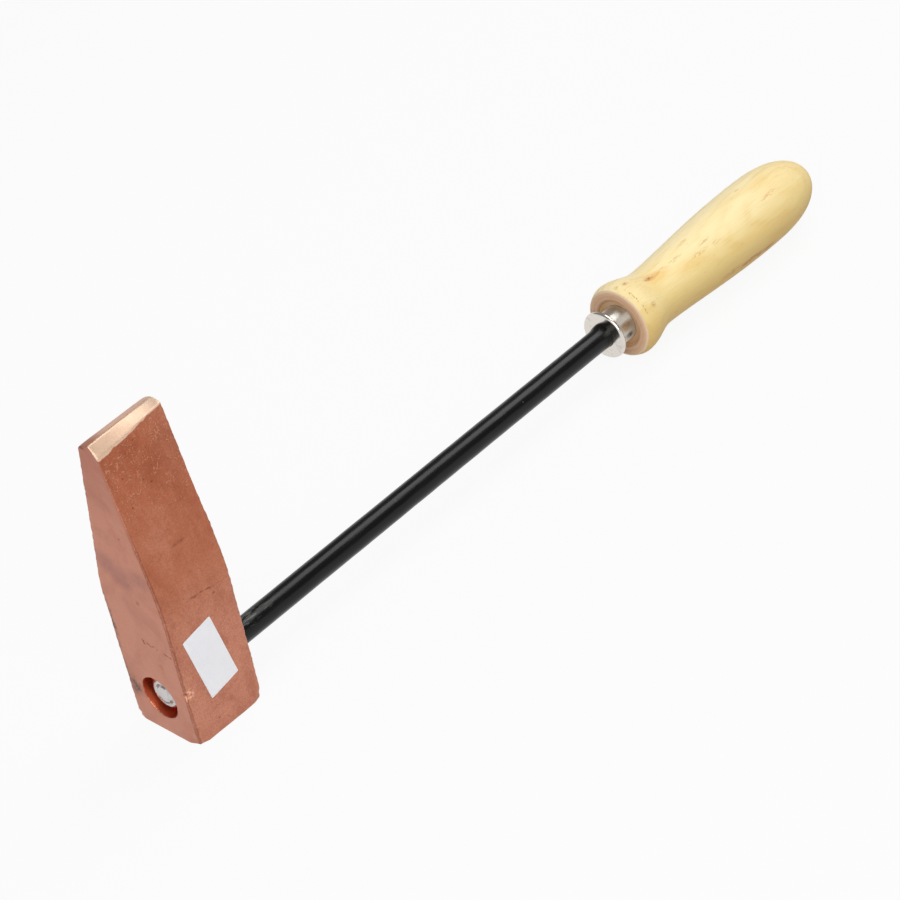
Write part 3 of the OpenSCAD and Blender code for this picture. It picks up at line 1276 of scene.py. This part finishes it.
    def note(self, head: Piece) -> None:
        """Notes on each vertex how it lies to the places that the finish tells apart.

        Args:
            head: The finished shape, still even.
        """
        rules = {
            "filed": lambda place: self.filed_gap(place) / MM,
            "back": lambda place: self.back_gap(place) / MM,
            "sawn": self.sawn_share,
            "arris": lambda place: self.arris_gap(place) / MM,
        }
        for name, rule in rules.items():
            notes = head.data.attributes.new(name, "FLOAT", "POINT").data
            for vertex in head.data.vertices:
                notes[vertex.index].value = rule(vertex.co)

    def age(self, head: Piece) -> None:
        """Makes the faces uneven, marks the edge side and dents the near arris.

        Args:
            head: The finished shape.
        """
        FORGING.press(head)
        weigh(head, "pecked", self.pecked_share)
        PECKS.press(head, "pecked")
        weigh(head, "arrises", lambda place: 1 - min(self.arris_gap(place) / self.nick_reach, 1.0))
        NICKS.press(head, "arrises")

        near = Vector((self.low.x, self.low.y, 0))
        right = Vector((self.high.x, self.low.y, 0))
        far = Vector((self.low.x, self.high.y, 0))
        # Each dent's corner, its place from there, its push and its reach in millimetres
        dents = (
            (near, (0.3, 0.6, 25), (0.5, 0.9, 0), 2.4),
            (near, (1.8, 0.0, 27.6), (0, -0.6, 0), 1.3),
            (near, (1.6, 0.0, 23.6), (0, -0.6, 0), 1.2),
            (near, (0.2, 0.2, 66), (0.15, 0.2, 0), 4.0),
            (near, (0.4, 0.4, 1.0), (1.1, 1.1, 0.35), 6.0),
            (near, (0.4, 0.4, 9.0), (0.5, 0.5, 0), 7.0),
            (right, (0, 0, 1.0), (-0.6, 0.6, 0.3), 4.5),
            (far, (0, 0, 1.0), (0.4, -0.4, 0.3), 3.5),
            (near, (0, 9.5, 36), (0.35, 0, 0), 1.8),
        )
        with editing(head):
            for corner, offset, by, reach in dents:
                push(head, corner + Vector(offset) * MM, Vector(by) * MM, reach * MM)
        for vertex in head.data.vertices:
            for axis in range(3):
                vertex.co[axis] = min(max(vertex.co[axis], self.low[axis]), self.high[axis])


@dataclass
class PaintedRod(Part):
    """The steel rod: a bright spigot through the head, a painted bar and a tang."""

    head_x: float
    flange_x: float
    rod_d: float = 10 * MM
    spigot_d: float = 8 * MM
    spigot_chamfer: float = 0.7 * MM
    shoulder: float = 0.35 * MM
    tang_chamfer: float = 1 * MM
    pitch: float = 1.2 * MM
    fine_pitch: float = 0.4 * MM
    fine_steps: int = 16
    flange_gap: float = 0.02 * MM
    bare: float = 0.5 * MM
    collar: float = 5 * MM
    collar_mean: float = 0.7
    collar_lean: float = 0.3
    steps: int = 72
    smooth_angle: float = 35

    def build(self) -> Piece:
        """Turns and paints the rod.

        Returns:
            The finished mesh.
        """
        thin, thick, soft = self.spigot_d / 2, self.rod_d / 2, self.shoulder
        outline: Outline = [
            (self.low.x, 0),
            (self.low.x, thin - self.spigot_chamfer),
            (self.low.x + self.spigot_chamfer, thin),
            (self.head_x, thin),
            (self.head_x, thick - soft),
            (self.head_x + soft, thick),
        ]
        coarse = int((self.flange_x - self.head_x) / self.pitch) - 5
        outline += [(self.head_x + step * self.pitch, thick) for step in range(1, coarse)]
        last = self.flange_x - self.flange_gap
        fine = range(self.fine_steps, -1, -1)
        outline += [(last - step * self.fine_pitch, thick) for step in fine]
        outline += [
            (self.high.x - self.tang_chamfer, thick),
            (self.high.x, thick - self.tang_chamfer),
            (self.high.x, 0),
        ]
        rod = turn("painted_rod", outline, self.steps)
        first, end = self.head_x + self.bare, self.flange_x - self.bare
        weigh(rod, "painted", lambda place: float(first < place.x < end))
        PAINT.press(rod, "painted")
        weigh(rod, "thickened", self.collar_share)
        BEADS.press(rod, "thickened")
        bpy.ops.object.shade_smooth_by_angle(angle=math.radians(self.smooth_angle))
        for face in rod.data.polygons:
            face.material_index = int(face.center.x < self.head_x + HAIR)
        return rod

    def collar_share(self, place: Vector) -> float:
        """Says how much of the thick paint beside the flange lies at a place.

        Args:
            place: The place.

        Returns:
            The share, greatest at the flange and on the upper side.
        """
        back = self.flange_x - place.x
        if not 0 <= back < self.collar:
            return 0.0
        upper = (0.8 * (place.z - ROD_Z) + 0.6 * place.y) / (self.rod_d / 2)
        share = self.collar_mean + self.collar_lean * upper
        return share * glide(1, 0, back / self.collar)


@dataclass
class SunkNut(Part):
    """The hexagon nut in the counterbore."""

    flats: float = 13 * MM
    thread_d: float = 8.1 * MM
    land_r: float = 5.5 * MM
    countersink: float = 0.5 * MM
    chamfer_slope: float = 36
    edge: float = 0.12 * MM
    edge_angle: float = 20
    steps: int = 96
    smooth_angle: float = 30

    def build(self) -> Piece:
        """Cuts the nut.

        Returns:
            The finished mesh.
        """
        corner = self.flats / math.sqrt(3)
        bpy.ops.object.select_all(action="DESELECT")
        bpy.ops.mesh.primitive_cylinder_add(vertices=6, radius=corner, depth=self.length)
        made = bpy.context.object
        middle = Vector((self.middle_x, 0, ROD_Z))
        lying = Matrix.Rotation(math.pi / 2, 4, "Y") @ Matrix.Rotation(math.pi / 6, 4, "Z")
        made.matrix_world = Matrix.Translation(middle) @ lying
        nut = settle(made, "sunk_nut")
        over = 1 * MM
        reach = corner + over
        slope = (reach - self.land_r) * math.tan(math.radians(self.chamfer_slope))
        rounded: Outline = [
            (self.low.x, 0),
            (self.low.x, self.land_r),
            (self.low.x + slope, reach),
            (self.high.x + over, reach),
            (self.high.x + over, 0),
        ]
        cut(nut, turn("chamfer", rounded, self.steps), Cut.COMMON)
        thread = self.thread_d / 2
        bore: Outline = [
            (self.low.x - over, 0),
            (self.low.x - over, thread + self.countersink + over),
            (self.low.x + self.countersink, thread),
            (self.high.x + over, thread),
            (self.high.x + over, 0),
        ]
        cut(nut, turn("thread", bore, self.steps), Cut.AWAY)
        sharp = math.radians(self.edge_angle)
        refine(nut, "BEVEL", width=self.edge, segments=2, limit_method="ANGLE", angle_limit=sharp)
        bpy.ops.object.shade_smooth_by_angle(angle=math.radians(self.smooth_angle))
        return nut


@dataclass
class FlangedFerrule(Part):
    """The plated ferrule: a round rimmed flange and a neck that runs into the handle."""

    flange_d: float = 21.6 * MM
    flange_t: float = 2 * MM
    rim_steps: int = 16
    neck_d: float = 16 * MM
    bore_d: float = 10.1 * MM
    bore_soft: float = 0.25 * MM
    flare: float = 1.4 * MM
    flare_steps: int = 12
    plain_run: float = 0.2 * MM
    steps: int = 128
    smooth_angle: float = 35

    def build(self) -> Piece:
        """Turns the ferrule.

        Returns:
            The finished mesh.
        """
        rim, flare, soft = self.flange_t / 2, self.flare, self.bore_soft
        centre_r = self.flange_d / 2 - rim
        bore, neck = self.bore_d / 2, self.neck_d / 2
        front, back = self.low.x, self.low.x + self.flange_t
        outline: Outline = [(self.high.x, bore), (front + soft, bore), (front, bore + soft)]
        for step in range(self.rim_steps + 1):
            angle = math.pi * step / self.rim_steps
            x = front + rim - rim * math.cos(angle)
            outline.append((x, centre_r + rim * math.sin(angle)))
        for step in range(self.flare_steps + 1):
            angle = math.pi / 2 * step / self.flare_steps
            x = back + flare - flare * math.cos(angle)
            outline.append((x, neck + flare - flare * math.sin(angle)))
        outline += [(self.high.x, neck), (self.high.x, bore)]
        ferrule = turn("flanged_ferrule", outline, self.steps)
        bpy.ops.object.shade_smooth_by_angle(angle=math.radians(self.smooth_angle))
        for face in ferrule.data.polygons:
            face.material_index = int(face.center.x > back + self.plain_run)
        return ferrule


@dataclass
class TurnedHandle(Part):
    """The wooden handle: a bead at the front, a waist and a long belly."""

    face_d: float = 30.6 * MM
    bead_d: float = 33.36 * MM
    waist_d: float = 26.4 * MM
    belly_d: float = 32.4 * MM
    bead_at: float = 4.2 * MM
    waist_at: float = 21 * MM
    belly_at: float = 89 * MM
    dish_d: float = 21.4 * MM
    dish_depth: float = 1.6 * MM
    socket_d: float = 16.1 * MM
    socket_depth: float = 14 * MM
    bore_d: float = 10.1 * MM
    tang_l: float = 62 * MM
    soft: float = 0.4 * MM
    end_power: float = 2.95
    swell_power: float = 0.8
    bead_steps: int = 8
    waist_steps: int = 20
    belly_steps: int = 40
    end_steps: int = 36
    steps: int = 128
    smooth_angle: float = 40

    def radius(self, s: float) -> float:
        """Gives the radius of the handle at a distance behind its front face.

        Args:
            s: The distance.

        Returns:
            The radius.
        """
        if s < self.bead_at:
            swell = math.sin(math.pi / 2 * s / self.bead_at)
            return self.face_d / 2 + (self.bead_d - self.face_d) / 2 * swell
        if s < self.waist_at:
            part = (s - self.bead_at) / (self.waist_at - self.bead_at)
            return glide(self.bead_d, self.waist_d, part) / 2
        if s < self.belly_at:
            part = (s - self.waist_at) / (self.belly_at - self.waist_at)
            return glide(self.waist_d, self.belly_d, part**self.swell_power) / 2
        part = (s - self.belly_at) / (self.length - self.belly_at)
        return self.belly_d / 2 * math.sqrt(max(0.0, 1 - part**self.end_power))

    def places(self) -> list[float]:
        """Gives the distances behind the front face at which the outside is measured.

        Returns:
            The distances, closer together towards the end.
        """
        places: list[float] = []
        for start, stop, steps, first in (
            (0.0, self.bead_at, self.bead_steps, 1),
            (self.bead_at, self.waist_at, self.waist_steps, 0),
            (self.waist_at, self.belly_at, self.belly_steps, 0),
        ):
            places += [start + (stop - start) * step / steps for step in range(first, steps)]
        rest, steps = self.length - self.belly_at, self.end_steps
        for step in range(steps):
            places.append(self.belly_at + rest * math.sin(math.pi / 2 * step / steps))
        return places

    def build(self) -> Piece:
        """Turns the handle.

        Returns:
            The finished mesh.
        """
        front, soft = self.low.x, self.soft
        seat = front + self.socket_depth
        tang_end = seat + self.tang_l
        socket, bore, dish = self.socket_d / 2, self.bore_d / 2, self.dish_d / 2
        floor = front + self.dish_depth
        outline: Outline = [
            (tang_end, 0),
            (tang_end, bore),
            (seat, bore),
            (seat, socket),
            (floor + soft / 2, socket),
            (floor, socket + soft / 2),
            (floor, dish - soft),
            (floor - soft, dish),
            (front + soft, dish),
            (front, dish + soft),
            (front, self.face_d / 2 - soft),
        ]
        outline += [(front + s, self.radius(s)) for s in self.places()]
        outline.append((self.high.x, 0))
        handle = turn("turned_handle", outline, self.steps)
        bpy.ops.object.shade_smooth_by_angle(angle=math.radians(self.smooth_angle))
        return handle


@dataclass
class BlankLabel(Part):
    """The blank paper label on the side of the head."""

    host: str = "forged_head"
    width: float = 15 * MM
    height: float = 31.8 * MM
    tilt: float = 10.7
    sheet: float = 0.1 * MM
    lift: float = 0.02 * MM
    columns: int = 24
    rows: int = 52
    smoothing: int = 8
    smooth_angle: float = 30

    def build(self) -> Piece:
        """Cuts the label and lays it on the uneven side of the finished head.

        Returns:
            The finished mesh.
        """
        middle = (self.low + self.high) / 2
        bpy.ops.object.select_all(action="DESELECT")
        bpy.ops.mesh.primitive_grid_add(
            x_subdivisions=self.columns, y_subdivisions=self.rows, size=1
        )
        made = bpy.context.object
        tilted = Matrix.Rotation(-math.radians(self.tilt), 4, "Y")
        upright = tilted @ Matrix.Rotation(math.pi / 2, 4, "X")
        size = Matrix.Diagonal((self.width, self.height, 1, 1))
        made.matrix_world = Matrix.Translation(middle) @ upright @ size
        label = settle(made, "blank_label")
        refine(
            label,
            "SHRINKWRAP",
            target=bpy.data.objects[self.host],
            wrap_method="PROJECT",
            use_project_y=True,
            use_positive_direction=True,
            use_negative_direction=True,
            offset=self.lift,
        )
        refine(label, "SMOOTH", factor=0.5, iterations=self.smoothing)
        refine(label, "SOLIDIFY", thickness=self.sheet, offset=1.0)
        bpy.ops.object.shade_smooth_by_angle(angle=math.radians(self.smooth_angle))
        return label


@dataclass(frozen=True)
class Lamp:
    """One soft box that faces the object: the way to it, its distance, size and power in watts."""

    name: str
    towards: Place
    distance: float
    size: tuple[float, float]
    power: float

    def hang(self) -> None:
        """Hangs the lamp."""
        towards = Vector(self.towards)
        bpy.ops.object.select_all(action="DESELECT")
        bpy.ops.object.light_add(type="AREA", location=towards.normalized() * self.distance)
        lamp = bpy.context.object
        lamp.name = self.name
        lamp.data.shape = "RECTANGLE"
        lamp.data.size, lamp.data.size_y = self.size
        lamp.data.energy = self.power
        lamp.rotation_mode = "QUATERNION"
        lamp.rotation_quaternion = towards.to_track_quat("Z", "Y")


LAMPS = (
    Lamp("long_box", (0.66, 0.03, 1.12), distance=1.28, size=(0.8, 1.0), power=8.4),
    Lamp("fill_box", (-0.75, -0.25, 0.62), distance=1.4, size=(0.8, 0.8), power=3.6),
    Lamp("front_box", (-0.42, -0.64, 0.64), distance=1.5, size=(1.0, 1.0), power=10.6),
)


@dataclass
class Studio:
    """A pale floor, soft lights and the camera."""

    floor_size: float = 16.0
    backdrop_height: float = 2.4
    floor_grey: float = 0.62
    glow_share: float = 0.92
    world_level: float = 0.28
    eye: Place = (-594.52, -627.28, 641.97)
    right: Place = (0.65612, -0.73810, -0.15721)
    up: Place = (0.53317, 0.30595, 0.78875)
    lens: float = 105.9
    sensor: float = 36
    clip_start: float = 0.01
    clip_end: float = 200

    def build(self) -> None:
        """Sets up the floor, the world, the lamps and the camera."""
        self.lay_floor()
        self.light_world()
        for lamp in LAMPS:
            lamp.hang()
        self.set_camera()
        bpy.context.scene.view_settings.view_transform = "Standard"

    def lay_floor(self) -> None:
        """Lays the floor and its backdrop, which stay pale and keep a soft shadow."""
        wide, tall = self.floor_size, self.backdrop_height
        bpy.ops.object.select_all(action="DESELECT")
        bpy.ops.mesh.primitive_cube_add(size=1, location=(0, 0, tall / 2), scale=(wide, wide, tall))
        floor = settle(bpy.context.object, "floor")
        with editing(floor):
            pick(floor, lambda place: place.z > tall / 2)
            bpy.ops.mesh.delete(type="ONLY_FACE")
            bpy.ops.mesh.select_all(action="SELECT")
            bpy.ops.mesh.normals_make_consistent(inside=True)
        s = Shade("pale_floor")
        grey = self.floor_grey
        matt = s.node("ShaderNodeBsdfDiffuse", {"Color": (grey, grey, grey, 1)})
        glow = s.node("ShaderNodeEmission", {"Color": (1, 1, 1, 1)})
        rays = s.node("ShaderNodeLightPath", {}).outputs
        seen = s.most(rays["Is Camera Ray"], rays["Is Glossy Ray"], rays["Is Transmission Ray"])
        share = s.times(seen, self.glow_share)
        mixed = s.node("ShaderNodeMixShader", {0: share, 1: matt.outputs[0], 2: glow.outputs[0]})
        floor.data.materials.append(s.close(mixed.outputs[0]))

    def light_world(self) -> None:
        """Makes the world a soft even light."""
        world = bpy.data.worlds.new("studio")
        bpy.context.scene.world = world
        world.use_nodes = True
        sky = world.node_tree.nodes["Background"]
        sky.inputs["Color"].default_value = (1, 1, 1, 1)
        sky.inputs["Strength"].default_value = self.world_level

    def set_camera(self) -> None:
        """Sets the camera to the photograph's viewing angle."""
        bpy.ops.object.camera_add()
        camera = bpy.context.object
        camera.name = "camera"
        right, upward = Vector(self.right).normalized(), Vector(self.up)
        up = (upward - right * upward.dot(right)).normalized()
        turned = Matrix((right, up, right.cross(up))).transposed().to_4x4()
        camera.matrix_world = Matrix.Translation(Vector(self.eye) * MM) @ turned
        camera.data.lens = self.lens
        camera.data.sensor_width = self.sensor
        camera.data.clip_start = self.clip_start
        camera.data.clip_end = self.clip_end
        bpy.context.scene.camera = camera


def main() -> None:
    """Builds every piece in order, dresses it and reports it."""
    logging.basicConfig(level=logging.INFO, format="%(message)s")
    Studio().build()

    head = ForgedHead(*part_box("copper_head"))
    flange_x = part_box("ferrule")[0].x
    rod = PaintedRod(*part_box("shank_rod"), head_x=head.high.x, flange_x=flange_x)
    nut = SunkNut(*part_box("lock_nut"))
    ferrule = FlangedFerrule(*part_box("ferrule"))
    handle = TurnedHandle(*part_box("wood_handle"))
    label = BlankLabel(*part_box("paper_label"))
    paint, zinc = PaintFinish().material(head.high.x), ZINC.material()
    plated = [NICKEL.material(), TURNED_NICKEL.material()]
    plan = (
        (head, [CopperFinish().material(head)], Slot.COPPER, "copper_head"),
        (rod, [paint, zinc], Slot.BLACK_STEEL, "shank_rod"),
        (nut, [zinc], Slot.BRIGHT_STEEL, "lock_nut"),
        (ferrule, plated, Slot.NICKEL_PLATE, "ferrule"),
        (handle, [WoodFinish().material(handle)], Slot.PALE_WOOD, "wood_handle"),
        (label, [PaperFinish().material()], Slot.WHITE_PAPER, "paper_label"),
    )
    for part, materials, slot, node in plan:
        piece = part.build()
        part.dress(piece, materials, slot, node)
        log.info("%s: %d faces", piece.name.replace("_", " "), len(piece.data.polygons))

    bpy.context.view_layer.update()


if __name__ == "__main__":
    main()
